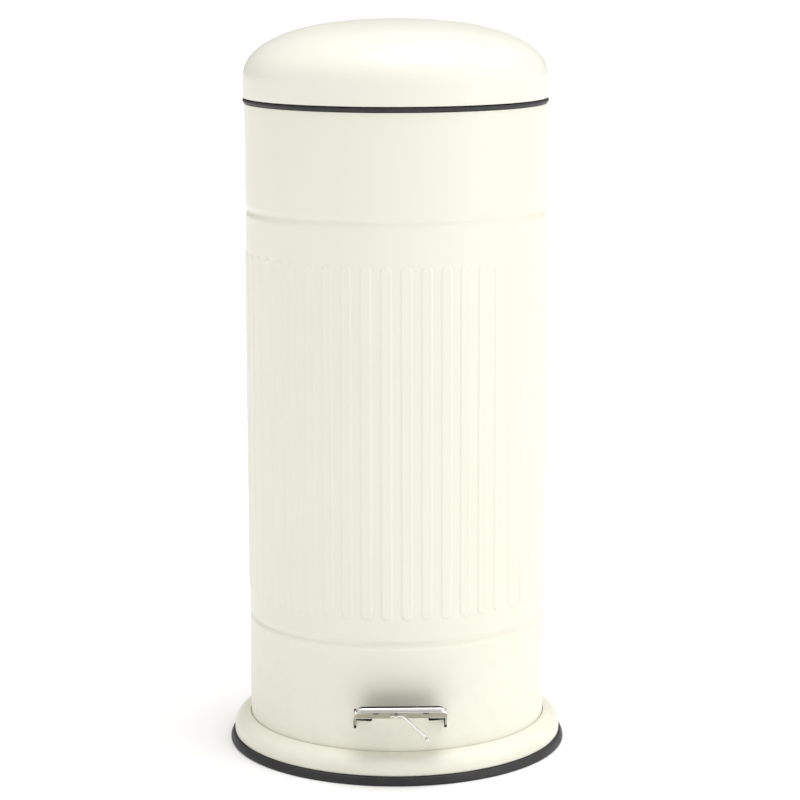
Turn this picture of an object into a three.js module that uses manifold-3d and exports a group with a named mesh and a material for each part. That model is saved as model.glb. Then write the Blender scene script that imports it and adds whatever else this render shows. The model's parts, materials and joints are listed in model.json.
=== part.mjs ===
// Pedal trash can: round steel body on a rubber-footed base ring, domed lid hinged at the back,
// lift-out bucket with a bail handle, and the pedal linkage that raises the lid.
// Millimetres, +Z up, origin on the floor at the centre, pedal towards -Y.
import * as THREE from "three";
import { mergeVertices } from "three/addons/utils/BufferGeometryUtils.js";
import Module from "manifold-3d";

const wasm = await Module();
wasm.setup();

const DEG = Math.PI / 180;
const GAP = 0.3;

// Round body: 48 flutes, one to each side of the turned shapes.
const FLUTES = 48;
const FLUTE_PHASE = 2.5 * DEG;
const BODY_R = 140.2;
const STEEL = 1;
const BODY_BOTTOM = 11.1;
const BODY_TOP = 607.8;
const BEAD_HEIGHTS = [126, 510.2];
const BEAD_HALF = 5.5;
const BEAD_DEPTH = 1.6;
const FLUTE_WIDTH = 10;
const FLUTE_FOOT = 150;
const FLUTE_HEAD = 472;
const FLUTE_RELIEF = 0.8;

// Base
const RUBBER_R = 160;
const RUBBER_H = 9.3;
const FOOT_INNER_R = 146;
const BASE_R = 155.8;
const BASE_TOP = 27;
const BASE_SHOULDER = 14;
const BASE_FLANGE = RUBBER_H + GAP;
const BASE_STEEL = 1.2;
const FLANGE_INNER_R = 126;
const PLATE_R = 138.8;
const PLATE_RIM = 22;
const PLATE_TOP = 12.3;
const SCREW_RING_R = 133;
const SHELF_Z = 75;
const SHELF_RIM = 84;

// Lid
const LID_R = 141.57;
const LID_EDGE = 614.4;
const LID_SHOULDER = 627.3;
const LID_APEX = 684.2;
const LID_STEEL = 0.9;
const LID_ROUND = 2.274;
const LID_SWELL = 2.431;

// Lid hinge, at the back
const HINGE_Y = 150;
const HINGE_Z = 606;
const PIN_R = 3;
const BORE_R = 3.2;
const KNUCKLE_HALF = 19;
const LUG_PIN_Y = 130.7;
const LUG_PIN_Z = 593.1;

// Linkage: every lever is 3 mm plate on the centre plane, every rod lies just right of it.
const LEVER_HALF = 1.5;
const ROD_X = [2.2, 5.2];
const CROSS_PIN_R = 2;
const CROSS_PIN_END = 6.3;
const LIFT_Y = [125.7, 131.7];
const PUSH_Z = [25, 32];
const REAR_PIVOT = [90, 45];
const REAR_ARM = 40;
const REAR_DROP = 16.1;
const REAR_TURN = 19.4 * DEG;

// Pedal
const PEDAL_PIVOT = [-127, 56];
const PEDAL_TILT = 35 * DEG;
const PEDAL_HALF = 42;
const PEDAL_FRONT = -45;
const PEDAL_TOP = -5.4;
const PEDAL_DEPTH = 5.3;
const PEDAL_STEEL = 1.4;
const PEDAL_REAR = -15.8;
const ARM_INNER = 27;
// Side outlines of the arms at rest, level with the floor, about the pivot
const ARM_WEB = [[-17.5, 3.6], [-5.3, 3.6], [-5.3, 5], [-17.5, 5]];
const ARM_CHEEK = [[-17.5, 3.6], [-8, 3.4], [-4.4, -1.6], [0, -4.9], [0, 4.9], [-9, 6.5], [-17, 5.2]];
const ARM_SKIRT = [[-19.2, 0.4], [-10.6, -5], [-3, -5.2], [0, 4.9], [-9, 6.5], [-17, 5.2], [-19.2, 6.8]];
const EAR_R = 5;
const CRANK_LENGTH = 28;
const CRANK_TURN = 11 * DEG;
const PAD_HALF = 38;
const STUD_X = 22.6;
const STUD_Y = -40.4;
const STUD_R = 3.15;
const STUD_BOTTOM = -10.4;
const PAD_THICK = 1.2;

// Wire catch under the pedal's lip
const CATCH_R = 1.4;
const CATCH_HINGE = [-163.5, 68];

// Bucket
const BUCKET_BOTTOM = 77.2;
const BUCKET_RIM_R = 121;
const BUCKET_RIM = 600;
const BAIL_R = 113.5;
const BAIL_Z = 606;
const BAIL_WIRE_R = 2;
const BAIL_STEPS = 24;

// Rear grip
const GRIP_REACH = 170;
const GRIP_Z = [536, 552];

const enamel = { color: 0xefe7d3, roughness: 0.22, metalness: 0.05 };
const lidEnamel = { color: 0xf1ebdb, roughness: 0.2, metalness: 0.05 };
const chrome = { color: 0xd6d3cb, roughness: 0.12, metalness: 1 };
const zinc = { color: 0xa9abad, roughness: 0.38, metalness: 0.9 };
const rubber = { color: 0x38383a, roughness: 0.6, metalness: 0 };
const plastic = { color: 0x2b2b2d, roughness: 0.45, metalness: 0 };

// Booleans

function toSolid(geometry) {
  const bare = geometry.clone();
  bare.deleteAttribute("normal");
  bare.deleteAttribute("uv");
  const merged = mergeVertices(bare, 1e-4);
  const vertProperties = merged.attributes.position.array;
  const triVerts = new Uint32Array(merged.index.array);
  return new wasm.Manifold(new wasm.Mesh({ numProp: 3, vertProperties, triVerts }));
}

function toGeometry(solid) {
  const mesh = solid.getMesh();
  const geometry = new THREE.BufferGeometry();
  geometry.setAttribute("position", new THREE.BufferAttribute(mesh.vertProperties, 3));
  geometry.setIndex(new THREE.BufferAttribute(mesh.triVerts, 1));
  geometry.computeVertexNormals();
  return geometry;
}

function join(...pieces) {
  return toGeometry(pieces.map(toSolid).reduce((whole, piece) => whole.add(piece)));
}

function cut(piece, ...tools) {
  return toGeometry(tools.map(toSolid).reduce((rest, tool) => rest.subtract(tool), toSolid(piece)));
}

// Shapes

// Outline of [r, z] points turned about the vertical axis, counter-clockwise.
function turned(outline) {
  const ring = outline[0][0] > 0 ? [...outline, outline[0]] : outline;
  const points = ring.map(([r, z]) => new THREE.Vector2(r, z));
  const start = FLUTE_PHASE - Math.PI / FLUTES;
  return new THREE.LatheGeometry(points, FLUTES, start).rotateX(Math.PI / 2);
}

function polygon(points) {
  return new THREE.Shape(points.map(([a, b]) => new THREE.Vector2(a, b)));
}

function roundedBox(a, b, radius) {
  const shape = new THREE.Shape();
  shape.absarc(a[1] - radius, b[0] + radius, radius, -Math.PI / 2, 0);
  shape.absarc(a[1] - radius, b[1] - radius, radius, 0, Math.PI / 2);
  shape.absarc(a[0] + radius, b[1] - radius, radius, Math.PI / 2, Math.PI);
  shape.absarc(a[0] + radius, b[0] + radius, radius, Math.PI, Math.PI * 1.5);
  return shape;
}

function slab(shape, depth, curveSegments = 1) {
  return new THREE.ExtrudeGeometry(shape, { depth, bevelEnabled: false, curveSegments });
}

// Outline in x and y, from z[0] up to z[1].
function prismZ(shape, z, curveSegments) {
  return slab(shape, z[1] - z[0], curveSegments).translate(0, 0, z[0]);
}

// Outline in y and z, from x[0] to x[1].
function prismX(shape, x) {
  const turn = new THREE.Matrix4().makeBasis(
    new THREE.Vector3(0, 1, 0),
    new THREE.Vector3(0, 0, 1),
    new THREE.Vector3(1, 0, 0),
  );
  return slab(shape, x[1] - x[0]).applyMatrix4(turn).translate(x[0], 0, 0);
}

// Outline in x and z, from y[1] back to y[0].
function prismY(shape, y) {
  return slab(shape, y[1] - y[0]).rotateX(Math.PI / 2).translate(0, y[1], 0);
}

function block(x, y, z) {
  const box = new THREE.BoxGeometry(x[1] - x[0], y[1] - y[0], z[1] - z[0]);
  return box.translate((x[0] + x[1]) / 2, (y[0] + y[1]) / 2, (z[0] + z[1]) / 2);
}

function rod(radius, from, to, sides = 14) {
  const start = new THREE.Vector3(...from);
  const along = new THREE.Vector3(...to).sub(start);
  const turn = new THREE.Quaternion().setFromUnitVectors(
    new THREE.Vector3(0, 1, 0),
    along.clone().normalize(),
  );
  const cylinder = new THREE.CylinderGeometry(radius, radius, along.length(), sides);
  const middle = start.addScaledVector(along, 0.5);
  return cylinder.applyQuaternion(turn).translate(middle.x, middle.y, middle.z);
}

function rodX(radius, x, y, z, sides) {
  return rod(radius, [x[0], y, z], [x[1], y, z], sides);
}

function rodY(radius, x, y, z, sides) {
  return rod(radius, [x, y[0], z], [x, y[1], z], sides);
}

// A pin along x with an upset head at each end.
function headedPin(half, y, z, headRadius) {
  return join(
    rodX(PIN_R, [-half, half], y, z),
    rodX(headRadius, [half - 0.2, half + 1.3], y, z),
    rodX(headRadius, [-half - 1.3, -half + 0.2], y, z),
  );
}

// Round section swept along a path of straight legs with eased corners.
function wire(corners, radius, ease, steps, sides = 8) {
  const points = corners.map((corner) => new THREE.Vector3(...corner));
  const path = new THREE.CurvePath();
  let last = points[0];
  for (let i = 1; i < points.length - 1; i++) {
    const back = points[i - 1].clone().sub(points[i]);
    const on = points[i + 1].clone().sub(points[i]);
    const reach = Math.min(ease, back.length() * 0.49, on.length() * 0.49);
    const enter = points[i].clone().addScaledVector(back.normalize(), reach);
    const leave = points[i].clone().addScaledVector(on.normalize(), reach);
    path.add(new THREE.LineCurve3(last, enter));
    path.add(new THREE.QuadraticBezierCurve3(enter, points[i], leave));
    last = leave;
  }
  path.add(new THREE.LineCurve3(last, points[points.length - 1]));
  const section = polygon(ringOf(sides, radius));
  return new THREE.ExtrudeGeometry(section, { steps, extrudePath: path, bevelEnabled: false });
}

// Round section swept through evenly spaced points of a curve.
function bentRod(corners, radius, sides) {
  const path = new THREE.CatmullRomCurve3(corners.map((corner) => new THREE.Vector3(...corner)));
  const section = polygon(ringOf(sides, radius));
  const steps = corners.length - 1;
  return new THREE.ExtrudeGeometry(section, { steps, extrudePath: path, bevelEnabled: false });
}

function ringOf(sides, radius) {
  return Array.from({ length: sides }, (_, i) => {
    const angle = (i / sides) * Math.PI * 2;
    return [Math.cos(angle) * radius, Math.sin(angle) * radius];
  });
}

// Places on a circle about the vertical axis, counted from the front towards +x.
function aroundZ(radius, angle) {
  return [Math.sin(angle) * radius, -Math.cos(angle) * radius];
}

// Base

function rubberRing() {
  return turned([
    [FOOT_INNER_R, 0],
    [RUBBER_R - 1, 0],
    [RUBBER_R, 1.2],
    [RUBBER_R, 2.6],
    [157.3, RUBBER_H],
    [FOOT_INNER_R, RUBBER_H],
  ]);
}

function rollPoints(steel, count) {
  const points = [];
  for (let i = 0; i <= count; i++) {
    const t = (i / count) * (Math.PI / 2);
    const r = 141 + (BASE_R - steel - 141) * Math.cos(t);
    const z = BASE_SHOULDER + (BASE_TOP - steel - BASE_SHOULDER) * Math.sin(t);
    points.push([r, z]);
  }
  return points;
}

function baseRing() {
  const flangeTop = BASE_FLANGE + BASE_STEEL;
  const ring = turned([
    [FLANGE_INNER_R, BASE_FLANGE],
    [BASE_R, BASE_FLANGE],
    ...rollPoints(0, 4),
    [BODY_R + 0.4, BASE_TOP],
    [BODY_R + 0.4, 22],
    [BODY_R + 1.6, 22],
    ...rollPoints(BASE_STEEL, 3).reverse().slice(1),
    [BASE_R - BASE_STEEL, flangeTop],
    [FLANGE_INNER_R, flangeTop],
  ]);
  return cut(ring, ...screwPlaces().map(([x, y]) => rod(2.3, [x, y, 5], [x, y, 30], 8)));
}

function screwPlaces() {
  return [45, 135, 225, 315].map((angle) => aroundZ(SCREW_RING_R, angle * DEG));
}

function basePlate() {
  const dish = turned([
    [0, BODY_BOTTOM],
    [PLATE_R, BODY_BOTTOM],
    [PLATE_R, PLATE_RIM],
    [PLATE_R - BASE_STEEL, PLATE_RIM],
    [PLATE_R - BASE_STEEL, PLATE_TOP],
    [0, PLATE_TOP],
  ]);
  return cut(dish, ...screwPlaces().map(([x, y]) => rod(2.3, [x, y, 5], [x, y, 30], 8)));
}

function baseScrew([x, y]) {
  return join(rod(4.5, [x, y, 7], [x, y, 9.3], 12), rod(2, [x, y, 9], [x, y, 17], 8));
}

function bucketShelf() {
  const tray = turned([
    [0, SHELF_Z],
    [PLATE_R, SHELF_Z],
    [PLATE_R, SHELF_RIM],
    [PLATE_R - BASE_STEEL, SHELF_RIM],
    [PLATE_R - BASE_STEEL, SHELF_Z + 1.5],
    [0, SHELF_Z + 1.5],
  ]);
  const passage = block([ROD_X[0] - 1, ROD_X[1] + 1], [LIFT_Y[0] - 1, LIFT_Y[1] + 1], [70, 90]);
  return cut(tray, passage);
}

// Body

// One wall face of the body, from the foot to the head, with its pressed beads.
function wallFace(radius) {
  const points = [[radius, BODY_BOTTOM]];
  for (const height of BEAD_HEIGHTS) {
    points.push([radius, height - BEAD_HALF]);
    points.push([radius - BEAD_DEPTH, height - 1]);
    points.push([radius - BEAD_DEPTH, height + 1]);
    points.push([radius, height + BEAD_HALF]);
  }
  points.push([radius, BODY_TOP]);
  return points;
}

function fluteRibs() {
  const face = BODY_R * Math.cos(Math.PI / FLUTES);
  const half = FLUTE_WIDTH / 2;
  const outline = polygon([
    [-half, FLUTE_HEAD - half],
    [-half, FLUTE_FOOT + half],
    [-half * 0.5, FLUTE_FOOT],
    [half * 0.5, FLUTE_FOOT],
    [half, FLUTE_FOOT + half],
    [half, FLUTE_HEAD - half],
    [half * 0.5, FLUTE_HEAD],
    [-half * 0.5, FLUTE_HEAD],
  ]);
  const ribs = [];
  for (let i = 0; i < FLUTES; i++) {
    const rib = prismY(outline, [-face - FLUTE_RELIEF, -face + 0.3]);
    ribs.push(rib.rotateZ(FLUTE_PHASE + (i * 2 * Math.PI) / FLUTES));
  }
  return ribs;
}

// Each pedal arm passes a slot whose outer corner runs on down as a narrow slit.
function armOpenings() {
  return [-1, 1].flatMap((side) => {
    const slot = [side * 25.7, side * 43.2].sort((a, b) => a - b);
    const slit = [side * 40, side * 43.2].sort((a, b) => a - b);
    return [block(slot, [-142, -125], [55, 66]), block(slit, [-142, -125], [47, 56])];
  });
}

function bodyShell() {
  const tube = turned([...wallFace(BODY_R), ...wallFace(BODY_R - STEEL).reverse()]);
  const fluted = join(tube, ...fluteRibs());
  const rivetHoles = hingeRivetPlaces().map(([x, z]) => rodY(2.3, x, [130, 145], z));
  const gripHoles = gripScrewXs().map((x) => rodY(2.3, x, [120, 136], 544));
  return cut(fluted, ...armOpenings(), ...rivetHoles, ...gripHoles);
}

function rimSeal() {
  return turned([
    [136, 598],
    [138.5, 598],
    [138.5, BODY_TOP + GAP],
    [141.3, BODY_TOP + GAP],
    [141.7, 610.5],
    [140.4, 613.3],
    [138.8, 613.9],
    [136.6, 613],
  ]);
}

// Lid

function domePoints(steel, count) {
  const points = [];
  for (let i = 0; i <= count; i++) {
    const t = (i / count) * (Math.PI / 2);
    const r = (LID_R - steel) * Math.max(Math.cos(t), 0) ** (2 / LID_ROUND);
    const z = LID_SHOULDER + (LID_APEX - steel - LID_SHOULDER) * Math.sin(t) ** (2 / LID_SWELL);
    points.push([i === count ? 0 : r, z]);
  }
  return points;
}

function lidRivetXs() {
  return [-12, 0, 12];
}

function lidDome() {
  const dome = turned([
    ...domePoints(LID_STEEL, 8).reverse(),
    [LID_R - LID_STEEL, LID_EDGE + 0.5],
    [LID_R - LID_STEEL - 0.4, LID_EDGE],
    [LID_R - 0.5, LID_EDGE],
    [LID_R, LID_EDGE + 0.7],
    ...domePoints(0, 8),
  ]);
  const notch = block([-20.5, 20.5], [130, 150], [610, 627]);
  const holes = lidRivetXs().map((x) => rodY(1.9, x, [130, 150], 632.5));
  return cut(dome, notch, ...holes);
}

// Knuckle on the hinge pin, strap over the rim, plate inside the lid and lug down into the body.
function lidHingeArm() {
  const whole = [-KNUCKLE_HALF, KNUCKLE_HALF];
  const lug = polygon([
    [126.2, LUG_PIN_Z],
    [133.3, LUG_PIN_Z],
    [133.3, 610],
    [135.5, 616.5],
    [135.5, 628],
    [131, 624],
    [126.4, 606],
  ]);
  const arm = join(
    rodX(5.5, whole, HINGE_Y, HINGE_Z),
    block(whole, [148.5, 151.5], [HINGE_Z, 623]),
    block(whole, [135.2, 151.5], [620, 623]),
    block(whole, [135.2, 137.1], [616, 637.5]),
    prismX(lug, [-LEVER_HALF, LEVER_HALF]),
    rodX(4.5, [-LEVER_HALF, LEVER_HALF], LUG_PIN_Y, LUG_PIN_Z),
    rodX(CROSS_PIN_R, [1, CROSS_PIN_END], LUG_PIN_Y, LUG_PIN_Z, 10),
  );
  const holes = lidRivetXs().map((x) => rodY(1.9, x, [130, 150], 632.5));
  return cut(arm, rodX(BORE_R, [-25, 25], HINGE_Y, HINGE_Z), ...holes);
}

function lidRivet(x) {
  return join(
    rodY(1.6, x, [134.5, 142.5], 632.5, 8),
    rodY(3, x, [133.4, 134.8], 632.5, 10),
    rodY(3, x, [141.9, 143.2], 632.5, 10),
  );
}

// Rear hinge and grip

function hingeRivetPlaces() {
  return [-14, 14].flatMap((x) => [[x, 570], [x, 590]]);
}

function hingeBracket() {
  const ear = polygon([
    [140.7, 574],
    [150, 590],
    [155.5, 602],
    [155.5, HINGE_Z],
    [144.5, HINGE_Z],
    [143, 604],
    [140.7, 604],
  ]);
  const ears = [[-22, -20], [20, 22]].flatMap((x) => [
    prismX(ear, x),
    rodX(5.6, x, HINGE_Y, HINGE_Z),
  ]);
  const bracket = join(block([-22, 22], [140.7, 142.7], [562, 604]), ...ears);
  const holes = hingeRivetPlaces().map(([x, z]) => rodY(2.3, x, [130, 150], z));
  return cut(bracket, rodX(PIN_R + GAP, [-25, 25], HINGE_Y, HINGE_Z), ...holes);
}

function hingeRivet([x, z]) {
  return join(
    rodY(2, x, [136, 144], z, 8),
    rodY(4, x, [135.2, 136.7], z, 10),
    rodY(4, x, [143, 144.3], z, 10),
  );
}

function gripScrewXs() {
  return [-47.5, 47.5];
}

function carryHandle() {
  const arch = new THREE.Shape();
  arch.moveTo(-56, 120);
  arch.lineTo(-42, 120);
  arch.lineTo(-40, 150);
  arch.quadraticCurveTo(-38, 160, -28, 160);
  arch.lineTo(28, 160);
  arch.quadraticCurveTo(38, 160, 40, 150);
  arch.lineTo(42, 120);
  arch.lineTo(56, 120);
  arch.lineTo(53, 148);
  arch.quadraticCurveTo(48, GRIP_REACH, 30, GRIP_REACH);
  arch.lineTo(-30, GRIP_REACH);
  arch.quadraticCurveTo(-48, GRIP_REACH, -53, 148);
  const bar = slab(arch, GRIP_Z[1] - GRIP_Z[0], 5).translate(0, 0, GRIP_Z[0]);
  const wall = turned([[0, 500], [BODY_R + 0.35, 500], [BODY_R + 0.35, 600], [0, 600]]);
  return cut(bar, wall, ...gripScrewXs().map((x) => rodY(2.3, x, [120, 147], 544)));
}

function gripScrew(x) {
  return join(rodY(4, x, [125.4, 128], 544, 12), rodY(2, x, [127.5, 145], 544, 12));
}

// Linkage

// Two uprights on a foot, holding a cross axle at the pivot.
function clevis(inner, outer, y, pivot, top) {
  const uprights = [[-outer, -inner], [inner, outer]].map((x) => block(x, y, [12.7, top]));
  const foot = block([-outer, outer], y, [12.7, 14.2]);
  return cut(join(foot, ...uprights), rodX(PIN_R + GAP, [-60, 60], pivot[0], pivot[1]));
}

function rearCrank() {
  const sheet = [-LEVER_HALF, LEVER_HALF];
  const rearArm = polygon([[0, -6], [REAR_ARM, -3.6], [REAR_ARM, 3.6], [0, 6]]);
  const dropArm = polygon([[-5.5, 0], [-3.6, -REAR_DROP], [3.6, -REAR_DROP], [5.5, 0]]);
  const pin = [1, CROSS_PIN_END];
  const crank = join(
    rodX(7, sheet, 0, 0),
    rodX(5, [-7.6, 7.6], 0, 0),
    prismX(rearArm, sheet),
    rodX(4, sheet, REAR_ARM, 0),
    prismX(dropArm, sheet),
    rodX(4, sheet, 0, -REAR_DROP),
    rodX(CROSS_PIN_R, pin, REAR_ARM, 0, 10),
    rodX(CROSS_PIN_R, pin, 0, -REAR_DROP, 10),
  );
  return cut(crank, rodX(BORE_R, [-12, 12], 0, 0));
}

// Flat rod with a slotted eye at each end.
function slottedRod(bar, eyes, slots) {
  const whole = join(bar, ...eyes.map((eye) => prismX(eye, ROD_X)));
  return cut(whole, ...slots.map((slot) => prismX(slot, [0, 8])));
}

function pushRod() {
  const front = PEDAL_PIVOT[0] - CRANK_LENGTH * Math.sin(CRANK_TURN);
  const rear = REAR_PIVOT[0] - REAR_DROP * Math.sin(REAR_TURN);
  const bar = block(ROD_X, [front, rear], PUSH_Z);
  const eyes = [
    roundedBox([front - 4.6, front + 5.5], [23.3, 33.2], 3),
    roundedBox([rear - 5.5, rear + 5.5], [24.2, 34.6], 3),
  ];
  const slots = [
    roundedBox([front - 2.35, front + 2.35], [25.6, 30.9], 2),
    roundedBox([rear - 2.4, rear + 2.4], [26.4, 32.2], 2),
  ];
  return slottedRod(bar, eyes, slots);
}

function liftRod() {
  const foot = REAR_PIVOT[1] - REAR_ARM * Math.sin(REAR_TURN);
  const bar = block(ROD_X, LIFT_Y, [foot, LUG_PIN_Z]);
  const eyes = [
    roundedBox([122.9, 134.8], [foot - 5, foot + 5], 3),
    roundedBox([122.5, 135.3], [LUG_PIN_Z - 5, LUG_PIN_Z + 5], 3),
  ];
  const slots = [
    roundedBox([125.3, 132.4], [foot - 2.5, foot + 2.5], 2),
    roundedBox([124.4, 133.6], [LUG_PIN_Z - 2.7, LUG_PIN_Z + 2.7], 2),
  ];
  return slottedRod(bar, eyes, slots);
}

function pushRodGuide() {
  const post = block([-2.5, 9.9], [-24, -16], [12.7, 36]);
  return cut(post, block([ROD_X[0] - GAP, ROD_X[1] + GAP], [-30, -10], [24.6, 32.4]));
}

function liftRodGuide(z) {
  const stay = block([-2.5, 9.9], [122.3, 138.2], [z, z + 10]);
  const y = [LIFT_Y[0] - GAP, LIFT_Y[1] + GAP];
  return cut(stay, block([ROD_X[0] - GAP, ROD_X[1] + GAP], y, [z - 5, z + 15]));
}

// Pedal pieces, modelled flat about the pivot and tilted by their group.

function pedalPlate() {
  const bottom = PEDAL_TOP - PEDAL_DEPTH;
  const under = PEDAL_TOP - PEDAL_STEEL;
  const hollowX = PEDAL_HALF - PEDAL_STEEL;
  const pan = prismZ(panOutline(PEDAL_HALF, PEDAL_FRONT, 8), [bottom, PEDAL_TOP], 2);
  const hollow = prismZ(panOutline(hollowX, PEDAL_FRONT + PEDAL_STEEL, 6.6), [bottom - 1, under], 2);
  const arms = [-1, 1].flatMap(pedalArm);
  const studs = [-STUD_X, STUD_X].map((x) => rod(STUD_R + GAP, [x, STUD_Y, -12], [x, STUD_Y, 0]));
  const plate = join(cut(pan, hollow), ...arms);
  return cut(plate, ...studs, rodX(BORE_R, [-50, 50], 0, 0));
}

// Plan of the tread: square at the wall, rounded at the front.
function panOutline(half, front, radius) {
  const shape = new THREE.Shape();
  shape.moveTo(half, PEDAL_REAR);
  shape.lineTo(-half, PEDAL_REAR);
  shape.absarc(-half + radius, front + radius, radius, Math.PI, Math.PI * 1.5);
  shape.absarc(half - radius, front + radius, radius, Math.PI * 1.5, Math.PI * 2);
  return shape;
}

// A level web between an outer skirt and an inner cheek, both of which turn on the axle.
function pedalArm(side) {
  const span = (a, b) => [side * a, side * b].sort((p, q) => p - q);
  const skirt = span(PEDAL_HALF - PEDAL_STEEL, PEDAL_HALF);
  const inner = span(ARM_INNER, ARM_INNER + PEDAL_STEEL);
  return [
    prismX(polygon(ARM_WEB.map(intoPedal)), span(ARM_INNER, PEDAL_HALF)),
    prismX(polygon(ARM_SKIRT.map(intoPedal)), skirt),
    prismX(polygon(ARM_CHEEK.map(intoPedal)), inner),
    rodX(EAR_R, skirt, 0, 0),
    rodX(EAR_R, inner, 0, 0),
  ];
}

// A point beside the pivot at rest, in the tilted pedal's own frame.
function intoPedal([y, z]) {
  const turn = new THREE.Vector3(0, y, z).applyAxisAngle(new THREE.Vector3(1, 0, 0), PEDAL_TILT);
  return [turn.y, turn.z];
}

function pedalPad() {
  const tread = roundedBox([-PAD_HALF, PAD_HALF], [PEDAL_FRONT + 0.6, -18], 5);
  const z = PEDAL_TOP + GAP;
  const studs = [-STUD_X, STUD_X].map((x) => rod(STUD_R, [x, STUD_Y, STUD_BOTTOM], [x, STUD_Y, z + 1]));
  return join(prismZ(tread, [z, z + PAD_THICK]), ...studs);
}

function pedalCrank() {
  const tail = polygon([[-4.5, 0], [-4, -CRANK_LENGTH], [4, -CRANK_LENGTH], [4.5, 0]]);
  const sheet = [-LEVER_HALF, LEVER_HALF];
  const crank = join(
    rodX(EAR_R, [-26.7, 26.7], 0, 0),
    prismX(tail, sheet),
    rodX(4, sheet, 0, -CRANK_LENGTH),
    rodX(CROSS_PIN_R, [1, CROSS_PIN_END], 0, -CRANK_LENGTH, 10),
  );
  return cut(crank, rodX(BORE_R, [-30, 30], 0, 0));
}

function catchClip() {
  const [y, z] = intoPedal([CATCH_HINGE[0] - PEDAL_PIVOT[0], CATCH_HINGE[1] - PEDAL_PIVOT[1]]);
  const under = PEDAL_TOP - PEDAL_STEEL - GAP;
  const eye = join(block([-6, -3], [y - 2.4, y + 2.4], [z, under]), rodX(2.4, [-6, -3], y, z));
  return cut(eye, rodX(CATCH_R + GAP, [-8, 0], y, z));
}

function catchWire() {
  const [y, z] = CATCH_HINGE;
  const legs = [
    [-9, y, z],
    [1.6, y, z],
    [22.8, y, 46.6],
    [23.6, y - 3.2, 45.8],
  ];
  return join(wire(legs, CATCH_R, 2.5, 16, 7), rodX(2.3, [-9.6, -8.2], y, z, 8));
}

// Bucket

function bucket() {
  const shell = turned([
    [0, BUCKET_BOTTOM],
    [108, BUCKET_BOTTOM],
    [110, 79.5],
    [118.6, 592],
    [BUCKET_RIM_R, 593],
    [BUCKET_RIM_R, BUCKET_RIM],
    [117.1, BUCKET_RIM],
    [108.5, 81],
    [106.8, 79.3],
    [0, 79.3],
  ]);
  const ear = [-1, 1].map((side) => {
    const x = side > 0 ? [117.9, 120.5] : [-120.5, -117.9];
    return prismX(roundedBox([-8, 8], [596, 612], 5), x);
  });
  return cut(join(shell, ...ear), rodX(BAIL_WIRE_R + GAP, [-130, 130], 0, BAIL_Z));
}

function bailArc(from, to, count) {
  return Array.from({ length: count + 1 }, (_, i) => {
    const angle = (from + ((to - from) * i) / count) * DEG;
    return [BAIL_R * Math.cos(angle), -BAIL_R * Math.sin(angle), BAIL_Z];
  });
}

function bailWire() {
  const hoop = bentRod(bailArc(0, 180, BAIL_STEPS), BAIL_WIRE_R, 8);
  const ends = [-1, 1].flatMap((side) => [
    rod(BAIL_WIRE_R, [side * (BAIL_R - 1), 0, BAIL_Z], [side * 122.6, 0, BAIL_Z], 8),
    rod(3.2, [side * 121.4, 0, BAIL_Z], [side * 123, 0, BAIL_Z], 12),
  ]);
  return join(hoop, ...ends);
}

function bailGrip() {
  const tube = bentRod(bailArc(75, 105, 4), 5, 12);
  return cut(tube, bentRod(bailArc(67.5, 112.5, 6), BAIL_WIRE_R + 0.5, 8));
}

// Assembly

function piece(group, name, geometry, look) {
  const mesh = new THREE.Mesh(geometry, new THREE.MeshStandardMaterial(look));
  mesh.name = name;
  group.add(mesh);
}

// A group whose pieces are modelled about a pivot and turned about x.
function turnedGroup([y, z], angle) {
  const group = new THREE.Group();
  group.position.set(0, y, z);
  group.rotation.x = angle;
  return group;
}

function numbered(group, stem, places, make, look) {
  places.forEach((place, i) => piece(group, stem + "_" + (i + 1), make(place), look));
}

function addBase(can) {
  piece(can, "base_rubber_ring", rubberRing(), rubber);
  piece(can, "base_ring", baseRing(), enamel);
  piece(can, "base_plate", basePlate(), zinc);
  numbered(can, "base_screw", screwPlaces(), baseScrew, zinc);
  piece(can, "bucket_shelf", bucketShelf(), zinc);
}

function addBody(can) {
  piece(can, "body_shell", bodyShell(), enamel);
  piece(can, "rim_seal", rimSeal(), rubber);
  piece(can, "hinge_bracket", hingeBracket(), zinc);
  piece(can, "hinge_pin", headedPin(22.5, HINGE_Y, HINGE_Z, 4.4), zinc);
  numbered(can, "hinge_rivet", hingeRivetPlaces(), hingeRivet, zinc);
  piece(can, "carry_handle", carryHandle(), plastic);
  numbered(can, "handle_screw", gripScrewXs(), gripScrew, zinc);
}

function addLid(can) {
  piece(can, "lid_dome", lidDome(), lidEnamel);
  piece(can, "lid_hinge_arm", lidHingeArm(), zinc);
  numbered(can, "lid_rivet", lidRivetXs(), lidRivet, zinc);
}

function addLinkage(can) {
  piece(can, "pedal_bracket", clevis(33, 35, [-131.5, -121], PEDAL_PIVOT, 62), zinc);
  piece(can, "pedal_axle", headedPin(42.5, ...PEDAL_PIVOT, 3.8), zinc);
  piece(can, "crank_bracket", clevis(8, 9.5, [82, 98], REAR_PIVOT, 52), zinc);
  piece(can, "crank_axle", headedPin(9.9, ...REAR_PIVOT, 4.5), zinc);
  piece(can, "push_rod", pushRod(), zinc);
  piece(can, "push_rod_guide", pushRodGuide(), zinc);
  piece(can, "lift_rod", liftRod(), zinc);
  numbered(can, "lift_rod_guide", [160, 480], liftRodGuide, zinc);
  const rear = turnedGroup(REAR_PIVOT, -REAR_TURN);
  piece(rear, "rear_crank", rearCrank(), zinc);
  can.add(rear);
}

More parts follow.
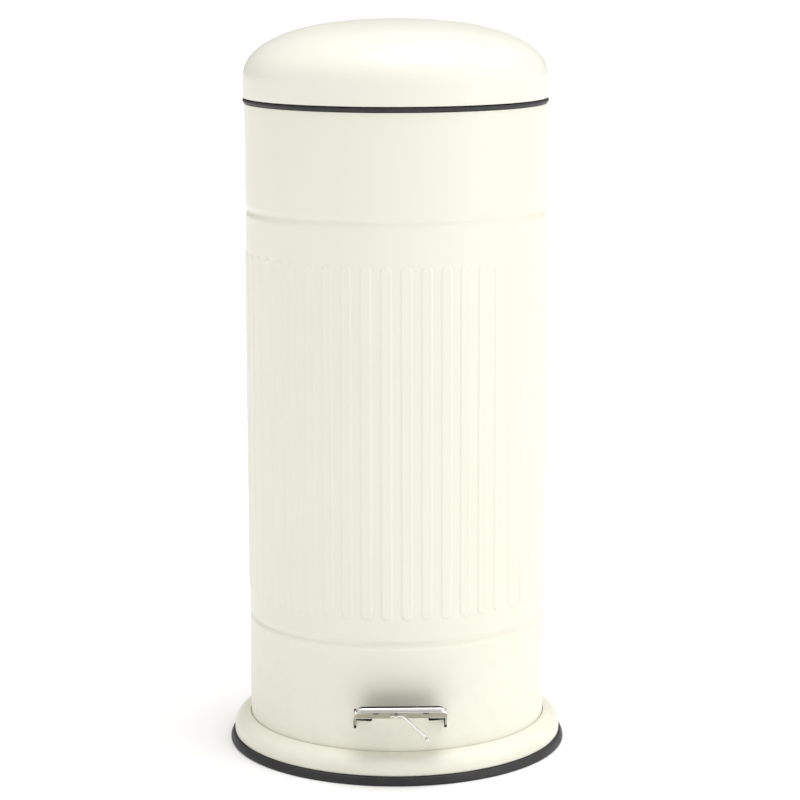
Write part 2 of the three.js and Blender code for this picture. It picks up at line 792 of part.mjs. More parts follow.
function addPedal(can) {
  const tread = turnedGroup(PEDAL_PIVOT, -PEDAL_TILT);
  piece(tread, "pedal_plate", pedalPlate(), chrome);
  piece(tread, "pedal_pad", pedalPad(), rubber);
  piece(tread, "catch_clip", catchClip(), chrome);
  const tail = turnedGroup(PEDAL_PIVOT, -CRANK_TURN);
  piece(tail, "pedal_crank", pedalCrank(), zinc);
  can.add(tread, tail);
  piece(can, "catch_wire", catchWire(), chrome);
}

function addBucket(can) {
  piece(can, "bucket", bucket(), plastic);
  piece(can, "bail_wire", bailWire(), zinc);
  piece(can, "bail_grip", bailGrip(), plastic);
}

const trashCan = new THREE.Group();
trashCan.name = "trash_can";
addBase(trashCan);
addBody(trashCan);
addLid(trashCan);
addLinkage(trashCan);
addPedal(trashCan);
addBucket(trashCan);

export default trashCan;
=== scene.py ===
"""Pedal trash can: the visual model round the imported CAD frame.

Shapes are written in millimetres and turned into metres as each mesh is made.
"""

import json
import math

import bmesh
import bpy
from mathutils import Matrix, Vector


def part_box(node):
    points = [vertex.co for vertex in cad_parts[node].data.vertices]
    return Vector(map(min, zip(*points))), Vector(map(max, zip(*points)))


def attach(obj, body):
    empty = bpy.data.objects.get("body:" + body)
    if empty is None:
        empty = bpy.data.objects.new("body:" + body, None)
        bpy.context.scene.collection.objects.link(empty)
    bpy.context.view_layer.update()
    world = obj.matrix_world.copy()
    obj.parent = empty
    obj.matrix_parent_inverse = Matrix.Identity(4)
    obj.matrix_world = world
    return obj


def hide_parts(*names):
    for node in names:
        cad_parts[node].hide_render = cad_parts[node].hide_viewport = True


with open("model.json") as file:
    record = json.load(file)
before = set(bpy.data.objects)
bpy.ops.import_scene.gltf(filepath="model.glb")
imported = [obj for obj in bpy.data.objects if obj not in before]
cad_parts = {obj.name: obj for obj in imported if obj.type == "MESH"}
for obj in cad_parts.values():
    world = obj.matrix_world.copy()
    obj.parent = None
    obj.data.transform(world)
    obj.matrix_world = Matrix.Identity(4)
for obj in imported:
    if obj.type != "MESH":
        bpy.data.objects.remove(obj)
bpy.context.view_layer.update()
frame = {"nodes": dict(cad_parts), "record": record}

MM = 0.001
PIVOTS = {joint["name"]: joint.get("pos_m") for joint in frame["record"]["behaviour"]["joints"]}
nodes = frame["nodes"]


# ---------------------------------------------------------------- geometry helpers

ROUND = 240
RING_ROUND = 288
CIRCLE_SIDES = 24
CORNER_STEPS = 5
SHARP = 38
SWEPT_SHARP = 50
JOINED_SHARP = 40
MERGE_REACH = 1e-7
EASE_STEPS = 8
LONGEST_EASE = 0.49
SOFT_EDGE_ANGLE = 50
STEEPEST_PATH = 0.9


def mesh_object(name, points, faces, material, sharp=SHARP, scale=MM):
    mesh = bpy.data.meshes.new(name)
    mesh.from_pydata([Vector(p) * scale for p in points], [], faces)
    mesh.validate()
    work = bmesh.new()
    work.from_mesh(mesh)
    bmesh.ops.remove_doubles(work, verts=work.verts, dist=MERGE_REACH)
    bmesh.ops.recalc_face_normals(work, faces=work.faces)
    work.to_mesh(mesh)
    work.free()
    piece = bpy.data.objects.new(name, mesh)
    bpy.context.collection.objects.link(piece)
    finish_mesh(piece, material, sharp)
    return piece


def finish_mesh(piece, material, sharp=SHARP):
    mesh = piece.data
    mesh.materials.clear()
    mesh.materials.append(material)
    for face in mesh.polygons:
        face.use_smooth = True
        face.material_index = 0
    mesh.set_sharp_from_angle(angle=math.radians(sharp))


def lathe(name, profile, material, sides=ROUND, sharp=SHARP):
    """Closed [r, z] outline turned about the vertical axis."""
    points, faces, rings = [], [], []
    for r, z in profile:
        if r == 0:
            points.append((0, 0, z))
            rings.append([len(points) - 1] * sides)
            continue
        start = len(points)
        for i in range(sides):
            angle = 2 * math.pi * i / sides
            points.append((r * math.sin(angle), -r * math.cos(angle), z))
        rings.append(list(range(start, start + sides)))
    pairs = list(zip(rings, rings[1:]))
    if profile[0][0] > 0:
        pairs.append((rings[-1], rings[0]))
    for low, high in pairs:
        for i in range(sides):
            j = (i + 1) % sides
            corners = [low[i], low[j], high[j], high[i]]
            face = list(dict.fromkeys(corners))
            if len(face) > 2:
                faces.append(face)
    return mesh_object(name, points, faces, material, sharp)


def arc(centre, radius, start, end, count):
    """Points of a circular arc, from start to end in degrees."""
    turns = [math.radians(start + (end - start) * i / count) for i in range(count + 1)]
    return [(centre[0] + radius * math.cos(t), centre[1] + radius * math.sin(t)) for t in turns]


def circle(centre, radius):
    return arc(centre, radius, 0, 360 - 360 / CIRCLE_SIDES, CIRCLE_SIDES - 1)


def shifted(profile, r, z):
    """The outline moved by r and z."""
    return [(r + a, z + b) for a, b in profile]


def applied(piece, kind, settings):
    """Bakes one modifier into the piece's own mesh."""
    made = piece.modifiers.new(kind.lower(), kind)
    for key, value in settings.items():
        setattr(made, key, value)
    bpy.context.view_layer.update()
    graph = bpy.context.evaluated_depsgraph_get()
    mesh = bpy.data.meshes.new_from_object(piece.evaluated_get(graph))
    piece.modifiers.clear()
    old = piece.data
    piece.data = mesh
    bpy.data.meshes.remove(old)
    return piece


def combine(piece, others, operation):
    """Boolean of the piece with each other piece, which is used up."""
    for other in others:
        applied(piece, "BOOLEAN", {"operation": operation, "object": other, "solver": "EXACT"})
        bpy.data.objects.remove(other)
    return piece


def softened(piece, width):
    """The piece with its sharp edges rounded off by width."""
    angle = math.radians(SOFT_EDGE_ANGLE)
    settings = {"width": width * MM, "segments": 2, "limit_method": "ANGLE", "angle_limit": angle}
    return applied(piece, "BEVEL", settings)


def box_piece(name, x, y, z, material):
    points = [(a, b, c) for a in x for b in y for c in z]
    faces = [(0, 1, 3, 2), (4, 6, 7, 5), (0, 4, 5, 1), (2, 3, 7, 6), (0, 2, 6, 4), (1, 5, 7, 3)]
    return mesh_object(name, points, faces, material)


def prism(name, outline, span, material, place):
    """Closed outline swept over span; place(a, b, s) gives the point."""
    count = len(outline)
    points = [place(a, b, s) for s in span for a, b in outline]
    faces = [list(range(count))[::-1], list(range(count, 2 * count))]
    for i in range(count):
        j = (i + 1) % count
        faces.append([i, j, count + j, count + i])
    return mesh_object(name, points, faces, material)


def along_x(a, b, s):
    return (s, a, b)


def along_y(a, b, s):
    return (a, s, b)


def rounded_outline(a, b, radius, count):
    """Rectangle over the spans a and b with rounded corners of count steps each."""
    corners = [
        ((a[1] - radius, b[0] + radius), -90),
        ((a[1] - radius, b[1] - radius), 0),
        ((a[0] + radius, b[1] - radius), 90),
        ((a[0] + radius, b[0] + radius), 180),
    ]
    outline = []
    for centre, start in corners:
        outline += arc(centre, radius, start, start + 90, count)
    return outline


def turned_piece(name, profile, material, base, axis, sides):
    """Small [r, h] profile turned about an axis through base."""
    piece = lathe(name, profile, material, sides)
    turn = Vector((0, 0, 1)).rotation_difference(Vector(axis)).to_matrix().to_4x4()
    piece.data.transform(Matrix.Translation(Vector(base) * MM) @ turn)
    return piece


def eased_path(corners, ease):
    """Path through corners, each rounded by a quadratic curve that starts ease before it."""
    path = [corners[0]]
    for before, here, after in zip(corners, corners[1:], corners[2:]):
        back, on = before - here, after - here
        reach = min(ease, back.length * LONGEST_EASE, on.length * LONGEST_EASE)
        enter = here + back.normalized() * reach
        leave = here + on.normalized() * reach
        for i in range(EASE_STEPS + 1):
            t = i / EASE_STEPS
            path.append(enter * (1 - t) ** 2 + here * 2 * t * (1 - t) + leave * t * t)
    path.append(corners[-1])
    return path


def heading(path, i):
    return (path[min(i + 1, len(path) - 1)] - path[max(i - 1, 0)]).normalized()


def tube_faces(count, size):
    """Faces of a tube of count sections with size points each, both ends closed."""
    faces = []
    for i in range(count - 1):
        for k in range(size):
            j = (k + 1) % size
            a, b = i * size, (i + 1) * size
            faces.append([a + k, a + j, b + j, b + k])
    faces.append(list(range(size))[::-1])
    faces.append(list(range((count - 1) * size, count * size)))
    return faces


def swept(name, path, radius, material, sides, sizes=None):
    """Round wire along path, its radius multiplied by sizes where they are given."""
    points = []
    across = None
    sizes = sizes or [1.0] * len(path)
    for i, here in enumerate(path):
        along = heading(path, i)
        if across is None:
            seed = Vector((0, 0, 1)) if abs(along.z) < STEEPEST_PATH else Vector((1, 0, 0))
            across = along.cross(seed).normalized()
        across = (across - along * across.dot(along)).normalized()
        up = along.cross(across)
        for k in range(sides):
            angle = 2 * math.pi * k / sides
            offset = across * math.cos(angle) + up * math.sin(angle)
            points.append(here + offset * radius * sizes[i])
    return mesh_object(name, points, tube_faces(len(path), sides), material, SWEPT_SHARP)


def smoothstep(low, high, value):
    t = min(max((value - low) / (high - low), 0), 1)
    return t * t * (3 - 2 * t)


def millimetres(node):
    low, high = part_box(node)
    return [v / MM for v in low], [v / MM for v in high]


def nodes_named(*starts):
    return sorted(n for n in nodes if n.startswith(starts))


# ---------------------------------------------------------------- materials

class Nodes:
    """Short names for building one material's node tree."""

    def __init__(self, name):
        self.material = bpy.data.materials.new(name)
        self.material.use_nodes = True
        self.tree = self.material.node_tree
        self.shader = self.tree.nodes["Principled BSDF"]
        place = self.tree.nodes.new("ShaderNodeTexCoord")
        self.place = place.outputs["Object"]

    def add(self, kind, **settings):
        node = self.tree.nodes.new(kind)
        for key, value in settings.items():
            setattr(node, key, value)
        return node

    def link(self, source, target):
        self.tree.links.new(source, target)

    def noise(self, scale, detail, roughness=0.5):
        node = self.add("ShaderNodeTexNoise")
        node.inputs["Scale"].default_value = scale
        node.inputs["Detail"].default_value = detail
        node.inputs["Roughness"].default_value = roughness
        self.link(self.place, node.inputs["Vector"])
        return node.outputs["Fac"]

    def ramp(self, source, first, last, start=0.3, end=0.7):
        """Colour from first to last as source goes from start to end."""
        node = self.add("ShaderNodeValToRGB")
        for element, place, colour in zip(node.color_ramp.elements, (start, end), (first, last)):
            element.position = place
            element.color = (*colour, 1)
        self.link(source, node.inputs["Fac"])
        return node.outputs["Color"]

    def spread(self, source, low, high, start=0.3, end=0.7):
        """Number from low to high as source goes from start to end."""
        node = self.add("ShaderNodeMapRange")
        node.inputs["From Min"].default_value = start
        node.inputs["From Max"].default_value = end
        node.inputs["To Min"].default_value = low
        node.inputs["To Max"].default_value = high
        self.link(source, node.inputs["Value"])
        return node.outputs["Result"]

    def mix(self, factor, first, second):
        """Linked colour first, going to the fixed colour second as factor goes to 1."""
        node = self.add("ShaderNodeMix", data_type="RGBA")
        colour_a, colour_b = [s for s in node.inputs if s.type == "RGBA"]
        self.link(factor, node.inputs["Factor"])
        self.link(first, colour_a)
        colour_b.default_value = (*second, 1)
        return next(s for s in node.outputs if s.type == "RGBA")

    def bump(self, source, height, strength, after=None):
        node = self.add("ShaderNodeBump")
        node.inputs["Strength"].default_value = strength
        node.inputs["Distance"].default_value = height
        self.link(source, node.inputs["Height"])
        if after:
            self.link(after, node.inputs["Normal"])
        return node.outputs["Normal"]

    def set(self, **values):
        for key, value in values.items():
            self.shader.inputs[key.replace("_", " ")].default_value = value

    def surface(self, colour, roughness, normal):
        self.link(colour, self.shader.inputs["Base Color"])
        self.link(roughness, self.shader.inputs["Roughness"])
        self.link(normal, self.shader.inputs["Normal"])
        return self.material


def shaded(colour, share):
    return tuple(min(c * share, 1) for c in colour)


SPECK_SHADE = 0.9
SCUFF_SHADE = 0.93
DUST_SHADE = 1.9


def enamel(name, pale, deep):
    """Stoved enamel over pressed steel: faint clouding, orange peel, specks, scuffs low down."""
    n = Nodes(name)
    clouds = n.ramp(n.noise(scale=7, detail=2), deep, pale)
    specks = n.spread(n.noise(scale=700, detail=1), low=0, high=0.5, start=0.76, end=0.82)
    tinted = n.mix(specks, clouds, shaded(deep, SPECK_SHADE))
    height = n.add("ShaderNodeSeparateXYZ")
    n.link(n.place, height.inputs["Vector"])
    low_down = n.spread(height.outputs["Z"], low=0.5, high=0, start=0.01, end=0.16)
    rubs = n.spread(n.noise(scale=60, detail=5), low=0, high=1, start=0.45, end=0.7)
    scuff = n.add("ShaderNodeMath", operation="MULTIPLY")
    n.link(low_down, scuff.inputs[0])
    n.link(rubs, scuff.inputs[1])
    colour = n.mix(scuff.outputs["Value"], tinted, shaded(deep, SCUFF_SHADE))
    roughness = n.spread(n.noise(scale=35, detail=4), low=0.32, high=0.4)
    peel = n.bump(n.noise(scale=420, detail=2), height=0.00006, strength=0.35)
    ripple = n.bump(n.noise(scale=22, detail=1), height=0.0004, strength=0.12, after=peel)
    n.set(Coat_Weight=0.12, Coat_Roughness=0.2, Specular_IOR_Level=0.32, IOR=1.5)
    return n.surface(colour, roughness, ripple)


def metal(name, bright, dull, rough, height):
    """Plated steel with uneven tone, uneven polish and fine scuffs."""
    n = Nodes(name)
    colour = n.ramp(n.noise(scale=30, detail=4), dull, bright, start=0.35, end=0.65)
    roughness = n.spread(n.noise(scale=260, detail=3), *rough)
    scuffs = n.bump(n.noise(scale=700, detail=2), height, strength=0.4)
    n.set(Metallic=1.0)
    return n.surface(colour, roughness, scuffs)


def moulded(name, pale, deep, rough, scale, height):
    """Rubber or moulded plastic: mottled colour, fine grain and dusty wear."""
    n = Nodes(name)
    base = n.ramp(n.noise(scale=40, detail=4), deep, pale)
    dust = n.spread(n.noise(scale=300, detail=5, roughness=0.7), low=0, high=0.3, start=0.55, end=0.75)
    colour = n.mix(dust, base, shaded(pale, DUST_SHADE))
    roughness = n.spread(n.noise(scale=90, detail=3), *rough)
    grain = n.bump(n.noise(scale, detail=2), height, strength=0.5)
    return n.surface(colour, roughness, grain)


BODY = enamel("cream_enamel", pale=(0.825, 0.812, 0.705), deep=(0.81, 0.796, 0.685))
LID = enamel("cream_lid_enamel", pale=(0.835, 0.825, 0.74), deep=(0.82, 0.81, 0.722))
CHROME = metal(
    "bright_chrome", bright=(0.80, 0.79, 0.76), dull=(0.70, 0.69, 0.66),
    rough=(0.09, 0.17), height=0.00003)
# Darker, khaki-tinted, rougher plate for the pedal's underside: its tint and darkness are painted
# shade and a painted reflection of the cream wall.
UNDERSIDE_SHADE_PLATE = metal(
    "underside_painted_shade_plate", bright=(0.58, 0.555, 0.48), dull=(0.45, 0.43, 0.365),
    rough=(0.5, 0.62), height=0.00012)
ZINC = metal(
    "zinc_plate", bright=(0.62, 0.63, 0.64), dull=(0.46, 0.47, 0.49),
    rough=(0.3, 0.46), height=0.00006)
RUBBER = moulded(
    "black_rubber", pale=(0.019, 0.019, 0.020), deep=(0.012, 0.012, 0.013),
    rough=(0.42, 0.56), scale=900, height=0.00008)
PLASTIC = moulded(
    "black_plastic", pale=(0.024, 0.024, 0.026), deep=(0.016, 0.016, 0.017),
    rough=(0.36, 0.48), scale=700, height=0.00006)
FINISH = {
    "cream_enamel": BODY,
    "cream_lid_enamel": LID,
    "chrome": CHROME,
    "zinc_steel": ZINC,
    "black_rubber": RUBBER,
    "black_plastic": PLASTIC,
}
SLOT_OF = {s["node"]: s["material_slot"] for s in frame["record"]["subparts"]}
BODIES = frame["record"]["behaviour"]["bodies"]
BODY_OF = {node: body for body, members in BODIES.items() for node in members}


def stands_for(piece, node):
    """The piece takes the place and body of the CAD node, which is hidden."""
    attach(piece, BODY_OF[node])
    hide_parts(node)
    return piece


# ---------------------------------------------------------------- body

FLUTES = 48
FLUTE_PHASE = math.radians(2.5)
FLUTE_SPAN = (150.0, 472.0)
FLUTE_HALF = 5.0
RELIEF = 0.62
FLUTE_EDGE = (-1.1, 0.55)
DIP_DEPTH = 0.07
DIP_MIDDLE = 1.1
DIP_WIDTH = 0.8
BODY_LOW, BODY_HIGH = millimetres("body_shell")
FLUTE_ROOM = 0.72
BODY_R = BODY_HIGH[0] - FLUTE_ROOM
BODY_STEEL = 1.0
BEADS = ((126.0, 5.4, 1.35), (510.2, 6.2, 1.0))
BEAD_DEPTH = 1.7
BEAD_ROWS = 9
BEAD_ROW_REACH = 1.1
INNER_BEAD_REACH = 7
TOP_GAP = 0.4
PLAIN_ROWS = [16 + 12.2 * i for i in range(48)]
ROW_GAP = 1
END_ROWS = 19
END_ROW_STEP = 0.55
END_LEAD = 2.4
COLUMN_OFFSETS = (0, 2.4, 3.5, 3.9, 4.25, 4.6, 4.95, 5.3, 5.7, 6.1, 6.6, 7.6)
ARM_SLOT = ((25.7, 42.2), (55, 66), 1.2)
ARM_SLIT = ((40.1, 42.6), (47.5, 57), 0.8)
FRONT_WALL = (-150, -120)
OPENING_STEPS = 4


def bead(z):
    """Depth of the grooves rolled round the shell, at height z."""
    depth = 0
    for height, half, sharpness in BEADS:
        off = abs(z - height) / half
        if off < 1:
            depth += BEAD_DEPTH * (0.5 + 0.5 * math.cos(math.pi * off)) ** sharpness
    return depth


def flute(across, z):
    """Pressed rib: flat crown, soft edge, and a slight dip of the sheet just outside it."""
    low, high = FLUTE_SPAN[0] + FLUTE_HALF, FLUTE_SPAN[1] - FLUTE_HALF
    beyond = max(low - z, z - high, 0)
    outside = math.hypot(across, beyond) - FLUTE_HALF
    dip = DIP_DEPTH * math.exp(-((outside - DIP_MIDDLE) / DIP_WIDTH) ** 2)
    return RELIEF * (1 - smoothstep(*FLUTE_EDGE, outside)) - dip


def body_rows():
    """Heights, closer together across the beads and the ends of the flutes."""
    rows = {BODY_LOW[2], BODY_HIGH[2] - TOP_GAP, *PLAIN_ROWS}
    for height, half, _ in BEADS:
        rows = {z for z in rows if abs(z - height) > half + ROW_GAP}
        steps = range(-BEAD_ROWS, BEAD_ROWS + 1)
        rows.update(height + half * BEAD_ROW_REACH * i / BEAD_ROWS for i in steps)
    for end in FLUTE_SPAN:
        inward = 1 if end == FLUTE_SPAN[0] else -1
        start = end - END_LEAD * inward
        reach = [start + END_ROW_STEP * i * inward for i in range(END_ROWS)]
        rows = {z for z in rows if not min(reach) - ROW_GAP < z < max(reach) + ROW_GAP}
        rows.update(reach)
    return sorted(rows)


def body_columns():
    """Angles, closer together across the edges of each flute."""
    pitch = 2 * math.pi / FLUTES
    offsets = sorted({side * u for u in COLUMN_OFFSETS for side in (-1, 1)}) + [pitch * BODY_R / 2]
    return [(FLUTE_PHASE + i * pitch + u / BODY_R, u) for i in range(FLUTES) for u in offsets]


def body_cutters():
    """The openings for the pedal's arms: a slot and, at its outer end, a slit below it."""
    cutters = []
    for side in (-1, 1):
        for (near, far), heights, radius in (ARM_SLOT, ARM_SLIT):
            across = sorted((side * near, side * far))
            outline = rounded_outline(across, heights, radius, OPENING_STEPS)
            cutters.append(prism("cutter", outline, FRONT_WALL, BODY, along_y))
    return cutters


def make_body():
    columns = body_columns()
    heights = body_rows()
    rows = [(z, [BODY_R - bead(z) + flute(u, z) for _, u in columns]) for z in heights]
    inner = [z for z in heights if min(abs(z - b[0]) for b in BEADS) < INNER_BEAD_REACH]
    inner = sorted({heights[0], heights[-1], *inner})
    rows += [(z, [BODY_R - BODY_STEEL - bead(z)] * len(columns)) for z in reversed(inner)]
    points, faces = [], []
    for z, radii in rows:
        for (angle, _), r in zip(columns, radii):
            points.append((r * math.sin(angle), -r * math.cos(angle), z))
    count = len(columns)
    for k in range(len(rows)):
        a, b = k * count, ((k + 1) % len(rows)) * count
        for i in range(count):
            j = (i + 1) % count
            faces.append([a + i, a + j, b + j, b + i])
    body = mesh_object("body_shell_pressed", points, faces, BODY)
    combine(body, body_cutters(), "DIFFERENCE")
    finish_mesh(body, BODY, JOINED_SHARP)
    return stands_for(body, "body_shell")


# ---------------------------------------------------------------- rim seal

LIP_DROP = 1.7
SEAL_GAP = 0.3
SEAL_FOOT = ((136.0, 0.6), (136.5, 0), (138.0, 0), (138.5, 0.6))
SEAL_WALL_R = 138.5
SEAL_INSET = 0.05
SEAL_LEDGE = 1.2
SEAL_ROLL = 1.9
SEAL_ROLL_DROP = 2.1
SEAL_ROLL_ARC = (-55, 90, 12)
SEAL_CROWN = ((138.0, -0.15), (136.9, -0.8), (136.2, -1.9), (136.0, -3))


def make_seal():
    low, high = millimetres("rim_seal")
    top, out = high[2] - LIP_DROP, high[0] - SEAL_INSET
    ledge = BODY_HIGH[2] + SEAL_GAP
    profile = shifted(SEAL_FOOT, 0, low[2])
    profile += [(SEAL_WALL_R, ledge), (out - SEAL_LEDGE, ledge)]
    profile += arc((out - SEAL_ROLL, top - SEAL_ROLL_DROP), SEAL_ROLL, *SEAL_ROLL_ARC)
    profile += shifted(SEAL_CROWN, 0, top)
    return stands_for(lathe("rim_seal_moulded", profile, RUBBER), "rim_seal")


# ---------------------------------------------------------------- base

FOOT_EDGE = 1.4
FOOT_IN = 146.4
FOOT_INSET = 0.15
FOOT_BULGE = ((-0.1, 2.4), (-1.1, 4.6))
FOOT_TOP = (
    (157.9, 6.7), (157.4, 7.4), (156.6, 7.8), (153.3, 7.8), (152.9, 8.2),
    (152.7, 9.3), (146.4, 9.3), (146.0, 8.9), (146.0, 0.4),
)
ROLL_OUT, ROLL_TOP = 155.77, 26.98
ROLL_IN, ROLL_SHOULDER = 141, 14.07
ROLL_POWERS = (1.86, 2.02)
ROLL_STEPS = 22
ROLL_STEEL = 1.2
RING_SHARP = 30
RING_HEM = (
    (126.0, 9.6), (153.4, 9.6), (153.7, 8.6), (154.5, 8.15),
    (155.3, 8.3), (155.7, 8.9), (155.77, 9.8),
)
RING_THROAT = ((140.75, 26.9), (140.6, 26.5), (140.6, 22.0), (141.8, 22.0))
RING_UNDERSIDE = ((154.57, 10.8), (126.0, 10.8))


def make_rubber():
    out = millimetres("base_rubber_ring")[1][0] - FOOT_INSET
    profile = [(FOOT_IN, 0.0), (out - FOOT_EDGE, 0.0)]
    profile += arc((out - FOOT_EDGE, FOOT_EDGE), FOOT_EDGE, -90, 0, CORNER_STEPS)
    profile += shifted(FOOT_BULGE, out, 0)
    profile += FOOT_TOP
    return stands_for(lathe("rubber_foot_ring", profile, RUBBER, RING_ROUND), "base_rubber_ring")


def roll(inset):
    """The base ring's rolled shoulder, as an eased quarter oval."""
    outer, top = ROLL_OUT - inset, ROLL_TOP - inset
    points = []
    for i in range(ROLL_STEPS + 1):
        t = math.pi / 2 * i / ROLL_STEPS
        r = ROLL_IN + (outer - ROLL_IN) * math.cos(t) ** (2 / ROLL_POWERS[0])
        points.append((r, ROLL_SHOULDER + (top - ROLL_SHOULDER) * math.sin(t) ** (2 / ROLL_POWERS[1])))
    return points


def make_base_ring():
    profile = [*RING_HEM, *roll(0), *RING_THROAT, *roll(ROLL_STEEL)[::-1][1:], *RING_UNDERSIDE]
    return stands_for(lathe("base_ring_rolled", profile, BODY, RING_ROUND, RING_SHARP), "base_ring")


# ---------------------------------------------------------------- lid

LID_LOW, LID_HIGH = millimetres("lid_dome")
LID_R = 141.57
LID_SHOULDER = 627.28
LID_STEEL = 0.9
DOME_POWERS = (2.274, 2.431)
DOME_STEPS = 44
LID_EDGE_IN = ((-0.9, 3), (-1.5, 1.3), (-2.0, 0.9))
LID_CURL_MIDDLE = (-1.15, 1.0)
LID_CURL = 1.0
LID_CURL_ARC = (200, 330, 8)
LID_EDGE_OUT = ((-0.12, 1.3), (0, 3.2), (0, 6), (0, 9.5))
HINGE_NOTCH = ((-20.5, 20.5), (600, 627), 2.0)
REAR_WALL = (128, 152)
LID_SHARP = 45


def dome(inset):
    points = []
    rise = LID_HIGH[2] - inset - LID_SHOULDER
    for i in range(DOME_STEPS + 1):
        t = math.pi / 2 * i / DOME_STEPS
        r = (LID_R - inset) * math.cos(t) ** (2 / DOME_POWERS[0])
        z = LID_SHOULDER + rise * math.sin(t) ** (2 / DOME_POWERS[1])
        points.append((r if i < DOME_STEPS else 0, z))
    return points


def make_lid():
    edge = LID_LOW[2] - LIP_DROP
    profile = dome(LID_STEEL)[::-1]
    profile += shifted(LID_EDGE_IN, LID_R, edge)
    (middle,) = shifted([LID_CURL_MIDDLE], LID_R, edge)
    profile += arc(middle, LID_CURL, *LID_CURL_ARC)
    profile += shifted(LID_EDGE_OUT, LID_R, edge)
    profile += dome(0)
    lid = lathe("lid_dome_spun", profile, LID, RING_ROUND)
    notch = prism("cutter", rounded_outline(*HINGE_NOTCH, CORNER_STEPS), REAR_WALL, LID, along_y)
    combine(lid, [notch], "DIFFERENCE")
    finish_mesh(lid, LID, LID_SHARP)
    return stands_for(lid, "lid_dome")


# ---------------------------------------------------------------- small hardware

RIVET_HEAD = 1.5
RIVET_SHANK = 0.5
RIVET_UPSET = ((0.9, 1.0), (1.2, RIVET_SHANK))
SMALL_SIDES = 32
CROWN_STEP = 15
SCREW_HEAD_R = 4.4
SCREW_HEAD = 2.1
SCREW_SHANK_R = 2.0
SLOT_HALF = (0.5, 5)
SLOT_DEPTH = 0.9


def domed_head(radius, height, shank, length):
    """Profile of a domed rivet: shank from 0 up to length, then the head."""
    crown = [
        (radius * math.cos(math.radians(a)), length + height * math.sin(math.radians(a)))
        for a in range(0, 90, CROWN_STEP)
    ]
    return [(0, 0), (shank, 0), (shank, length), (radius, length), *crown[1:], (0, length + height)]


def make_rivets():
    for node in nodes_named("hinge_rivet", "lid_rivet", "handle_screw"):
        low, high = millimetres(node)
        x, z = (low[0] + high[0]) / 2, (low[2] + high[2]) / 2
        radius, deep = (high[0] - low[0]) / 2, high[1] - low[1]
        inward = node.startswith("handle_screw")
        base = (x, high[1] if inward else low[1], z)
        profile = domed_head(radius, RIVET_HEAD, radius * RIVET_SHANK, deep - RIVET_HEAD)
        if not inward:
            profile = [(0, 0), (radius, 0), *[(radius * r, h) for h, r in RIVET_UPSET], *profile[2:]]
        axis = (0, -1 if inward else 1, 0)
        stands_for(turned_piece(node + "_domed", profile, ZINC, base, axis, SMALL_SIDES), node)


def make_base_screws():
    for node in nodes_named("base_screw"):
        low, high = millimetres(node)
        x, y = (low[0] + high[0]) / 2, (low[1] + high[1]) / 2
        length = high[2] - low[2] - SCREW_HEAD
        profile = domed_head(SCREW_HEAD_R, SCREW_HEAD, SCREW_SHANK_R, length)
        top = (x, y, high[2])
        piece = turned_piece(node + "_pan_head", profile, ZINC, top, (0, 0, -1), SMALL_SIDES)
        across = (x - SLOT_HALF[0], x + SLOT_HALF[0])
        along = (y - SLOT_HALF[1], y + SLOT_HALF[1])
        slot = box_piece("cutter", across, along, (low[2] - 1, low[2] + SLOT_DEPTH), ZINC)
        combine(piece, [slot], "DIFFERENCE")
        finish_mesh(piece, ZINC)
        stands_for(piece, node)


# ---------------------------------------------------------------- carry handle

HANDLE_LEG = ((-50, 131.6), (-48, 146), (-44, 158))
HANDLE_BEND_X = -30
HANDLE_BAR = (-20, -10, 0, 10, 20)
HANDLE_HALF = 5
HANDLE_EASE = 5
HANDLE_ROUNDING = 3.4
HANDLE_CORNER_STEPS = 4
WALL_GAP = 0.3
HANDLE_HEIGHTS = (500, 600)


def make_handle():
    low, high = millimetres("carry_handle")
    bar, middle, half = high[1] - HANDLE_HALF, (low[2] + high[2]) / 2, (high[2] - low[2]) / 2
    path = [Vector((x, y, 0)) for x, y in (*HANDLE_LEG, (HANDLE_BEND_X, bar))]
    path += [Vector((x, bar, 0)) for x in HANDLE_BAR]
    path += [Vector((-p.x, p.y, 0)) for p in path[len(HANDLE_LEG)::-1]]
    path = [p + Vector((0, 0, middle)) for p in eased_path(path, HANDLE_EASE)]
    thick, tall = (-HANDLE_HALF, HANDLE_HALF), (-half, half)
    section = rounded_outline(thick, tall, HANDLE_ROUNDING, HANDLE_CORNER_STEPS)
    points = []
    for i, here in enumerate(path):
        across = heading(path, i).cross(Vector((0, 0, 1)))
        points += [here + across * a + Vector((0, 0, b)) for a, b in section]
    faces = tube_faces(len(path), len(section))
    handle = mesh_object("carry_handle_moulded", points, faces, PLASTIC)
    bottom, top = HANDLE_HEIGHTS
    wall_r = BODY_R + WALL_GAP
    wall = lathe("cutter", [(0, bottom), (wall_r, bottom), (wall_r, top), (0, top)], PLASTIC)
    combine(handle, [wall], "DIFFERENCE")
    finish_mesh(handle, PLASTIC, SWEPT_SHARP)
    return stands_for(handle, "carry_handle")


# ---------------------------------------------------------------- pedal

PEDAL_TILT = math.radians(35)
PEDAL_PIVOT = Vector(PIVOTS["pedal_hinge"]) / MM
HALF, FRONT, REAR = 42.0, -44.95, -15.8
TOP, DEPTH, STEEL = -5.4, 5.3, 1.4
PAN_CORNER = 8.0
PAN_CORNER_STEPS = 10
SMALLEST_CORNER = 0.6
SIDE_LENGTH = 9
FRONT_STEPS = (-24, -12, 0, 12, 24)
CROWN, HOLLOW = 1.9, 0.9
CROWN_TURN, HOLLOW_TURN = 15, 30
EDGE_IN, EDGE_UP = 0.25, 0.3
STUDS = (-22.6, 22.6)
STUD_Y = -40.4
STUD_HOLE = 3.4
STUD_BOTTOM = -10.3
STUD_END = ((0, 0), (2.2, 0.05), (2.8, 0.3), (3.12, 0.9))
STUD_R = 3.12
AXLE_BORE = 3.2
ACROSS_PEDAL = (-60, 60)
BELOW_PIVOT = (-12, 0)
ARM_IN = 27.0
ARM_EYE = 5.0
